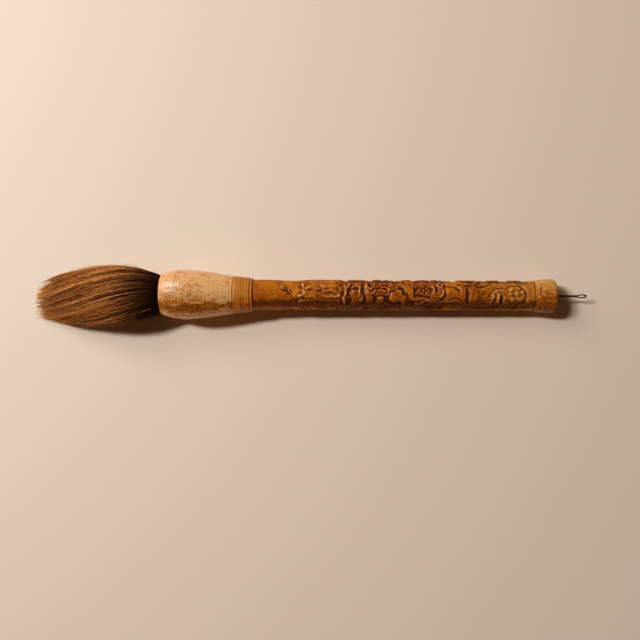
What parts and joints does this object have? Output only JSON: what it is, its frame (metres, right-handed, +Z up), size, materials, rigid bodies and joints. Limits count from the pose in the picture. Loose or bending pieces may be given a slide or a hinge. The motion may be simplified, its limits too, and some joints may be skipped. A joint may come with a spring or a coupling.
{
  "type": "calligraphy brush",
  "caption": "Large calligraphy brush: a ginger hair tuft in a turned bone bowl, a bone handle carved in relief, and a wire loop at the end to hang it by.",
  "frame": {"origin": "middle of the brush's length and width, on the table it lies on", "axes": "+X along the brush from the hair towards the hanging loop, +Z up; the brush's own axis falls by 1.2 degrees towards +X, because the bowl is fatter than the end band"},
  "size_m": [0.2892, 0.031, 0.029],
  "materials": {
    "hair": "satin",
    "hair_inner": "matte",
    "thread": "matte",
    "rosin": "gloss",
    "pale_bone": "satin",
    "yellow_bone": "satin",
    "honey_bone": "gloss",
    "tan_bone": "satin",
    "dowel_wood": "matte",
    "dark_wire": "satin"
  },
  "bodies": {
    "handle": {"ferrule_bowl": "pale_bone", "collar_ring": "yellow_bone", "joint_tenon": "dowel_wood", "carved_tube": "honey_bone", "end_dowel": "dowel_wood", "end_cap": "tan_bone", "hair_root": "hair_inner", "binding_thread": "thread", "rosin_plug": "rosin"},
    "tuft": {"core_hair": "hair_inner", "belly_hair": "hair_inner", "cover_hair": "hair"},
    "loop": {"hanging_wire": "dark_wire", "wire_stop": "dark_wire"}
  },
  "joints": [
    {"name": "tuft_flex", "type": "hinge", "parent": "handle", "child": "tuft", "pos_m": [-0.09158, 0, 0.01336], "axis": [0, 0, 1], "range_deg": [-35, 35], "stiffness_Nm_per_rad": 0.015},
    {"name": "loop_swivel", "type": "hinge", "parent": "handle", "child": "loop", "pos_m": [0.12627, 0, 0.00884], "axis": [0.9998, 0, -0.0208], "continuous": true}
  ]
}
